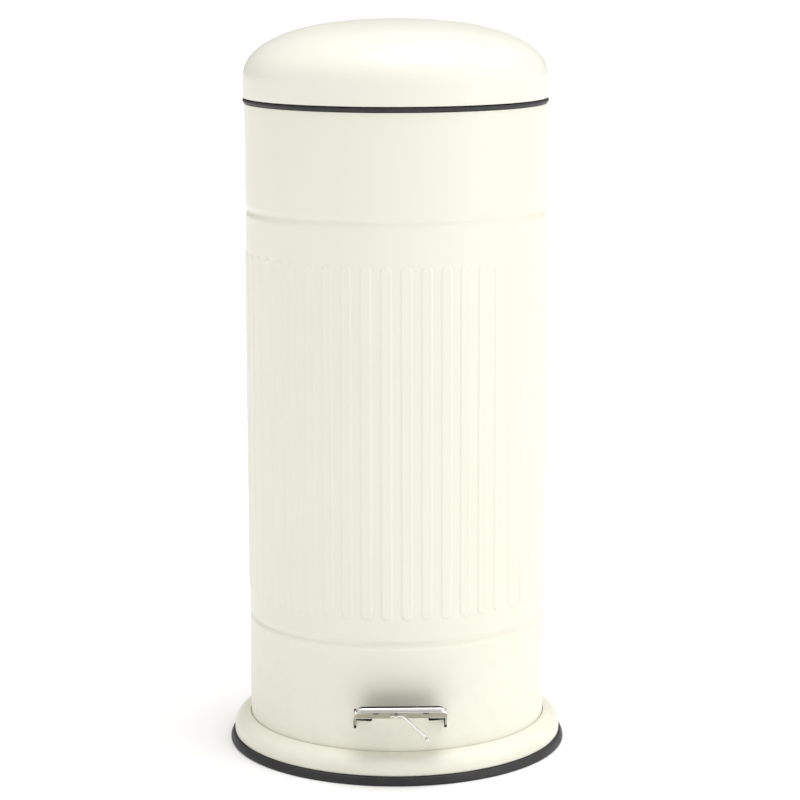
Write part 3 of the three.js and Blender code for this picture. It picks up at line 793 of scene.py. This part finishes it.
ARM_WEB = ((-17.5, 3.6), (-5.3, 3.6), (-5.3, 5), (-17.5, 5))
ARM_CHEEK = ((-17.5, 3.6), (-8, 3.4), (-4.4, -1.6), (0, -4.9), (0, 4.9), (-9, 6.5), (-17, 5.2))
ARM_SKIRT = ((-19.2, 0.4), (-10.6, -5), (-3, -5.2), (0, 4.9), (-9, 6.5), (-17, 5.2), (-19.2, 6.8))
TREAD_SOFTNESS = 0.18
UNDERSIDE_FACING = 0.8


def tilted(point):
    """A point of the level pedal, as it stands at rest."""
    turn = Matrix.Rotation(-PEDAL_TILT, 3, "X")
    return PEDAL_PIVOT + turn @ Vector(point)


def tilted_up(a, b, s):
    return tilted((a, b, s))


def tilted_across(a, b, s):
    return tilted((s, a, b))


def beside_pivot(y, z, x):
    return (x, PEDAL_PIVOT.y + y, PEDAL_PIVOT.z + z)


def pan_ring(inset, z):
    """Left wall, rounded front and right wall of the tread, from back to back."""
    half, front = HALF - inset, FRONT + inset
    bend = max(PAN_CORNER - inset, SMALLEST_CORNER)
    ring = [(-half, REAR), (-half, REAR - SIDE_LENGTH)]
    ring += arc((-half + bend, front + bend), bend, 180, 270, PAN_CORNER_STEPS)
    ring += [(x, front) for x in FRONT_STEPS]
    ring += arc((half - bend, front + bend), bend, 270, 360, PAN_CORNER_STEPS)
    ring += [(half, REAR - SIDE_LENGTH), (half, REAR)]
    return [tilted((x, y, z)) for x, y in ring]


def pan_bend(radius, inset, top, step):
    """Rounding from the wall of the tread to its top, as (inset, height) pairs."""
    turns = [math.radians(a) for a in range(0, 91, step)]
    return [(inset + radius * (1 - math.cos(t)), top - radius * (1 - math.sin(t))) for t in turns]


def tread_pan():
    bottom, under = TOP - DEPTH, TOP - STEEL
    outer = [(EDGE_IN, bottom), (0.0, bottom + EDGE_UP), *pan_bend(CROWN, 0, TOP, CROWN_TURN)]
    inner = [(STEEL - EDGE_IN, bottom), (STEEL, bottom + EDGE_UP)]
    inner += pan_bend(HOLLOW, STEEL, under, HOLLOW_TURN)
    points = [p for inset, z in outer + inner for p in pan_ring(inset, z)]
    size, deep = len(pan_ring(0, 0)), len(outer)
    last = size - 1
    faces = []
    for start, stop in ((0, deep - 1), (deep, deep + len(inner) - 1)):
        for k in range(start, stop):
            for i in range(last):
                a, b = k * size + i, (k + 1) * size + i
                faces.append([a, a + 1, b + 1, b])
    for i in range(last):
        faces.append([i, i + 1, deep * size + i + 1, deep * size + i])
    crown_row, hollow_row = (deep - 1) * size, (deep + len(inner) - 1) * size
    faces.append([crown_row + i for i in range(size)])
    faces.append([hollow_row + i for i in range(size)][::-1])
    for end in (0, last):
        outside = [k * size + end for k in range(deep)]
        inside = [(deep + k) * size + end for k in range(len(inner))]
        faces.append(outside + inside[::-1])
    faces.append([crown_row, crown_row + last, hollow_row + last, hollow_row])
    return mesh_object("pedal_tread", points, faces, CHROME)


def pedal_arm(side):
    inner = sorted((side * ARM_IN, side * (ARM_IN + STEEL)))
    outer = sorted((side * (HALF - STEEL), side * HALF))
    web = sorted((side * ARM_IN, side * HALF))
    eye = circle((0, 0), ARM_EYE)
    outlines = ((ARM_WEB, web), (ARM_SKIRT, outer), (ARM_CHEEK, inner), (eye, outer), (eye, inner))
    return [prism("arm", outline, x, CHROME, beside_pivot) for outline, x in outlines]


def paint_underside_shade(piece):
    """Down-facing faces get a darker, khaki-tinted, rougher plate: painted shade and a painted
    reflection of the cream wall below the pedal.
    """
    piece.data.materials.append(UNDERSIDE_SHADE_PLATE)
    down = Matrix.Rotation(-PEDAL_TILT, 3, "X") @ Vector((0, 0, -1))
    for face in piece.data.polygons:
        if face.normal.dot(down) > UNDERSIDE_FACING:
            face.material_index = 1


def make_pedal():
    tread = tread_pan()
    combine(tread, [p for side in (-1, 1) for p in pedal_arm(side)], "UNION")
    cutters = [prism("bore", circle((0, 0), AXLE_BORE), ACROSS_PEDAL, CHROME, tilted_across)]
    for x in STUDS:
        hole = circle((x, STUD_Y), STUD_HOLE)
        cutters.append(prism("hole", hole, BELOW_PIVOT, CHROME, tilted_up))
    combine(tread, cutters, "DIFFERENCE")
    softened(tread, TREAD_SOFTNESS)
    finish_mesh(tread, CHROME, JOINED_SHARP)
    # Painted shade: the down-facing faces take the darker, khaki-tinted plate.
    paint_underside_shade(tread)
    return stands_for(tread, "pedal_plate")


# ---------------------------------------------------------------- tread pad

PAD_LOW, PAD_HIGH = TOP + 0.3, TOP + 0.95
PAD_OUTLINE = ((-38, 38), (FRONT + 0.6, -18), 5)
PAD_CORNER_STEPS = 8
PAD_STUD_ROOT = 0.4
RIBS = [-34.8 + 5.8 * i for i in range(13)]
RIB_HALF = 1.3
RIB_ROUNDING = 1.29
RIB_CORNER_STEPS = 4
RIB_SPAN = (FRONT + 3.4, -20.5)
RIB_RELIEF = 0.2
PAD_SOFTNESS = 0.3


def pad_stud(x):
    root = PAD_LOW + PAD_STUD_ROOT
    profile = [*shifted(STUD_END, 0, STUD_BOTTOM), (STUD_R, root), (0, root)]
    stud = lathe("stud", profile, RUBBER, CIRCLE_SIDES)
    turn = Matrix.Rotation(-PEDAL_TILT, 4, "X")
    stud.data.transform(Matrix.Translation(tilted((x, STUD_Y, 0)) * MM) @ turn)
    return stud


def make_pad():
    """Rubber tread pad: rounded mat with raised ribs, held by two domed studs."""
    outline = rounded_outline(*PAD_OUTLINE, PAD_CORNER_STEPS)
    mat = prism("tread_pad_ribbed", outline, (PAD_LOW, PAD_HIGH), RUBBER, tilted_up)
    raised = []
    for x in RIBS:
        across = (x - RIB_HALF, x + RIB_HALF)
        rib = rounded_outline(across, RIB_SPAN, RIB_ROUNDING, RIB_CORNER_STEPS)
        heights = (PAD_HIGH - RIB_RELIEF, PAD_HIGH + RIB_RELIEF)
        raised.append(prism("rib", rib, heights, RUBBER, tilted_up))
    combine(mat, raised + [pad_stud(x) for x in STUDS], "UNION")
    softened(mat, PAD_SOFTNESS)
    finish_mesh(mat, RUBBER, JOINED_SHARP)
    return stands_for(mat, "pedal_pad")


# ---------------------------------------------------------------- wire catch

CATCH_WIRE = 1.4
CATCH_EASE = 2.4
CATCH_SIDES = 18
CATCH_END_X = -9.3
CATCH_HEAD_X = -9.7
CATCH_BEND_X = 1.6
CATCH_FOOT = (22.8, 0, 46.6)
CATCH_TIP = (23.5, -3.4, 45.9)
CATCH_KNOB = (23.4, -1.6, 46.0)
KNOB_AXIS = (0.1, -1, -0.1)
CATCH_HEAD_SHAPE = [(0, 0), (1.7, 0), (2.25, 0.35), (2.25, 1.1), (1.6, 1.5), (0, 1.5)]
CATCH_KNOB_SHAPE = [(0, 0), (1.5, 0.1), (2.0, 0.6), (2.05, 1.3), (1.5, 2.1), (0, 2.3)]


def make_catch():
    y, z = PIVOTS["catch_hinge"][1] / MM, PIVOTS["catch_hinge"][2] / MM
    foot, tip, knob_base = [(a, y + b, c) for a, b, c in (CATCH_FOOT, CATCH_TIP, CATCH_KNOB)]
    corners = [Vector(p) for p in ((CATCH_END_X, y, z), (CATCH_BEND_X, y, z), foot, tip)]
    path = eased_path(corners, CATCH_EASE)
    catch = swept("catch_wire_bent", path, CATCH_WIRE, CHROME, CATCH_SIDES)
    head_base = (CATCH_HEAD_X, y, z)
    head = turned_piece("head", CATCH_HEAD_SHAPE, CHROME, head_base, (1, 0, 0), CIRCLE_SIDES)
    knob = turned_piece("knob", CATCH_KNOB_SHAPE, CHROME, knob_base, KNOB_AXIS, CIRCLE_SIDES)
    combine(catch, [head, knob], "UNION")
    finish_mesh(catch, CHROME, SWEPT_SHARP)
    return stands_for(catch, "catch_wire")


# ---------------------------------------------------------------- bucket

BUCKET_SIDES = 192
BUCKET_SHARP = 35
BUCKET_DISH = ((0, 1.2), (70, 1.2), (74, 0), (107, 0))
FOOT_R, TOP_R = 110.0, 118.6
FOOT_ROUNDING = 3.0
WALL_TOP = 592
HOOP_HEIGHTS = (200.0, 330.0, 460.0)
HOOP = ((0, -3), (0.8, -1), (0.8, 1), (0.1, 3))
RIM_Z, RIM_R = 600.0, 121
RIM_ROLL = 1.6
RIM_FOOT = ((118.6, 590.5), (120.4, 592), (121, 593))
RIM_CROWN = ((118.2, 600.0), (117.3, 599.4), (117.0, 598.0))
BUCKET_INSIDE = ((108.5, 82), (107.6, 80.2), (106, 79.3), (0, 79.3))
EAR = ((-8, 8), (596, 612), 5)
EAR_CORNER_STEPS = 6
EAR_X = (117.9, 120.5)
EAR_BORE = 2.3
ACROSS_BUCKET = (-130, 130)


def make_bucket():
    bottom = millimetres("bucket")[0][2]
    profile = shifted(BUCKET_DISH, 0, bottom)
    corner = (FOOT_R - FOOT_ROUNDING, bottom + FOOT_ROUNDING)
    profile += arc(corner, FOOT_ROUNDING, -90, 0, CORNER_STEPS)
    for height in HOOP_HEIGHTS:
        r = FOOT_R + (TOP_R - FOOT_R) * (height - bottom) / (WALL_TOP - bottom)
        profile += shifted(HOOP, r, height)
    profile += [*RIM_FOOT, (RIM_R, RIM_Z - RIM_ROLL)]
    profile += arc((RIM_R - RIM_ROLL, RIM_Z - RIM_ROLL), RIM_ROLL, 0, 90, CORNER_STEPS)
    profile += [*RIM_CROWN, *BUCKET_INSIDE]
    bucket = lathe("bucket_moulded", profile, PLASTIC, BUCKET_SIDES, BUCKET_SHARP)
    ears = []
    for side in (-1, 1):
        x = sorted(side * e for e in EAR_X)
        ear = rounded_outline(*EAR, EAR_CORNER_STEPS)
        ears.append(prism("ear", ear, x, PLASTIC, along_x))
    combine(bucket, ears, "UNION")
    bore = circle((0, PIVOTS["bail_hinge"][2] / MM), EAR_BORE)
    combine(bucket, [prism("bore", bore, ACROSS_BUCKET, PLASTIC, along_x)], "DIFFERENCE")
    finish_mesh(bucket, PLASTIC, BUCKET_SHARP)
    return stands_for(bucket, "bucket")


# ---------------------------------------------------------------- bail

BAIL_Z = 606
BAIL_RADIUS = 113.5
BAIL_WIRE = 2.0
BAIL_END = ((122.6, 0), (118.0, 0), (115.2, -0.6))
BAIL_HEAD = [(0, 0), (2.6, 0), (3.2, 0.4), (3.2, 1.0), (2.4, 1.6), (0, 1.6)]
BAIL_HEAD_X = 121.4
BAIL_SIDES = 16
HOOP_ANGLES = range(2, 179, 2)
GRIP_RADIUS = 5.0
GRIP_BORE = 2.3
GRIP_SIDES = 24
GRIP_STEPS = 60
GRIP_ANGLES = [75 + 0.5 * i for i in range(GRIP_STEPS + 1)]
GRIP_PLAIN_END = 3
CORE_ANGLES = range(60, 121, 2)
GRIP_SIZES = {"rib": 0.99, "groove": 0.93, "end": 0.8}
RIB_PITCH, RIB_STEPS = 4, 2


def bail_point(angle):
    turn = math.radians(angle)
    x, y = BAIL_RADIUS * math.cos(turn), -BAIL_RADIUS * math.sin(turn)
    return Vector((x, y, PIVOTS["bail_hinge"][2] / MM))


def grip_size(i):
    """Share of the grip's radius at step i: ribs between plain, tapered ends."""
    if i in (0, GRIP_STEPS):
        return GRIP_SIZES["end"]
    ribbed = GRIP_PLAIN_END < i < GRIP_STEPS - GRIP_PLAIN_END and i % RIB_PITCH < RIB_STEPS
    return GRIP_SIZES["rib" if ribbed else "groove"]


def make_bail():
    path = [Vector((x, y, BAIL_Z)) for x, y in BAIL_END]
    path += [bail_point(a) for a in HOOP_ANGLES]
    path += [Vector((-x, y, BAIL_Z)) for x, y in reversed(BAIL_END)]
    hoop = swept("bail_hoop", path, BAIL_WIRE, ZINC, BAIL_SIDES)
    heads = []
    for side in (-1, 1):
        base = (side * BAIL_HEAD_X, 0, BAIL_Z)
        heads.append(turned_piece("head", BAIL_HEAD, ZINC, base, (side, 0, 0), CIRCLE_SIDES))
    combine(hoop, heads, "UNION")
    finish_mesh(hoop, ZINC, SWEPT_SHARP)
    stands_for(hoop, "bail_wire")
    sizes = [grip_size(i) for i in range(GRIP_STEPS + 1)]
    spine = [bail_point(a) for a in GRIP_ANGLES]
    grip = swept("bail_grip_ribbed", spine, GRIP_RADIUS, PLASTIC, GRIP_SIDES, sizes)
    core = swept("core", [bail_point(a) for a in CORE_ANGLES], GRIP_BORE, PLASTIC, BAIL_SIDES)
    combine(grip, [core], "DIFFERENCE")
    finish_mesh(grip, PLASTIC, JOINED_SHARP)
    stands_for(grip, "bail_grip")


# ---------------------------------------------------------------- stage, light, camera

FLOOR_HALF = 150.0
SKY_COLOUR = (1.0, 0.995, 0.98, 1)
# Each lobe: direction, then the dot products where it starts and ends, then its strengths there.
SKY_LOBES = (
    ((0.86, -0.48, 0.18), -0.3, 1.0, 0.62, 0.86),
    ((0.0, -0.15, 1.0), 0.1, 1.0, 0.0, 0.50),
    ((0.0, -1.0, 0.5), 0.66, 0.98, 0.0, -0.42),
    ((-0.25, 1.0, 0.0), 0.0, 0.9, 0.0, -0.36),
)
KEY_SIZE = (0.9, 1.8)
KEY_ENERGY = 6.5
KEY_PLACE = Vector((1.8, -0.9, 0.55))
KEY_TARGET = Vector((0, 0, 0.4))
SUN_ENERGY = 1.25
SUN_SPREAD = math.radians(40)
SUN_LEAN = (math.radians(2), math.radians(5), 0)
SENSOR_WIDTH = 36
LENS = 116.97
CAMERA_PLACE = (-0.0548, -2.4142, 0.7714)
CAMERA_YAW = math.radians(-1.384)
CAMERA_DIP = 10.421
CAMERA_PITCH = math.radians(90 - CAMERA_DIP)
CAMERA_ROLL = math.radians(-0.1)


def make_floor():
    n = Nodes("pale_floor")
    colour = n.ramp(n.noise(scale=2, detail=2), (0.93, 0.93, 0.93), (0.95, 0.95, 0.95))
    roughness = n.spread(n.noise(scale=20, detail=2), low=0.85, high=0.95)
    n.set(Specular_IOR_Level=0.0)
    grain = n.bump(n.noise(scale=200, detail=1), height=0.00002, strength=0.1)
    material = n.surface(colour, roughness, grain)
    corners = [(x * FLOOR_HALF, y * FLOOR_HALF, 0) for x, y in ((-1, -1), (1, -1), (1, 1), (-1, 1))]
    mesh_object("floor", corners, [(0, 1, 2, 3)], material, scale=1.0)


def make_world():
    """Soft sky: bright overhead and to the front right, dimmer to the left, behind and ahead."""
    world = bpy.data.worlds.new("studio")
    world.use_nodes = True
    tree = world.node_tree
    sky = tree.nodes["Background"]
    sky.inputs["Color"].default_value = SKY_COLOUR
    place = tree.nodes.new("ShaderNodeTexCoord")
    total = None
    for towards, *numbers in SKY_LOBES:
        dot = tree.nodes.new("ShaderNodeVectorMath")
        dot.operation = "DOT_PRODUCT"
        dot.inputs[1].default_value = Vector(towards).normalized()
        tree.links.new(place.outputs["Generated"], dot.inputs[0])
        lobe = tree.nodes.new("ShaderNodeMapRange")
        lobe.interpolation_type = "SMOOTHSTEP"
        for name, value in zip(("From Min", "From Max", "To Min", "To Max"), numbers):
            lobe.inputs[name].default_value = value
        tree.links.new(dot.outputs["Value"], lobe.inputs["Value"])
        if total:
            add = tree.nodes.new("ShaderNodeMath")
            add.operation = "ADD"
            tree.links.new(total, add.inputs[0])
            tree.links.new(lobe.outputs["Result"], add.inputs[1])
            total = add.outputs["Value"]
        else:
            total = lobe.outputs["Result"]
    tree.links.new(total, sky.inputs["Strength"])
    bpy.context.scene.world = world


def add_light(name, kind, energy):
    data = bpy.data.lights.new(name, kind)
    data.energy = energy
    light = bpy.data.objects.new(name, data)
    bpy.context.collection.objects.link(light)
    return light


def make_lights():
    make_world()
    # Tall soft box off to the right, whose sheen runs down the body right of the middle.
    key = add_light("key", "AREA", KEY_ENERGY)
    key.data.shape = "RECTANGLE"
    key.data.size, key.data.size_y = KEY_SIZE
    key.location = KEY_PLACE
    key.rotation_mode = "QUATERNION"
    key.rotation_quaternion = (KEY_TARGET - key.location).to_track_quat("-Z", "Y")
    overhead = add_light("overhead", "SUN", SUN_ENERGY)
    overhead.data.angle = SUN_SPREAD
    overhead.rotation_euler = SUN_LEAN
    scene = bpy.context.scene
    scene.view_settings.view_transform = "Standard"
    scene.view_settings.look = "None"


def make_camera():
    data = bpy.data.cameras.new("camera")
    data.sensor_width = SENSOR_WIDTH
    data.lens = LENS
    camera = bpy.data.objects.new("camera", data)
    camera.location = CAMERA_PLACE
    turn = Matrix.Rotation(CAMERA_YAW, 4, "Z")
    tip = Matrix.Rotation(CAMERA_PITCH, 4, "X")
    roll_by = Matrix.Rotation(CAMERA_ROLL, 4, "Z")
    camera.rotation_mode = "QUATERNION"
    camera.rotation_quaternion = (turn @ tip @ roll_by).to_quaternion()
    bpy.context.collection.objects.link(camera)
    bpy.context.scene.camera = camera


# ---------------------------------------------------------------- assembly

for node, piece in nodes.items():
    piece.data.materials.clear()
    piece.data.materials.append(FINISH[SLOT_OF[node]])

make_body()
make_seal()
make_rubber()
make_base_ring()
make_lid()
make_rivets()
make_base_screws()
make_handle()
make_pedal()
make_pad()
make_catch()
make_bucket()
make_bail()
make_floor()
make_lights()
make_camera()
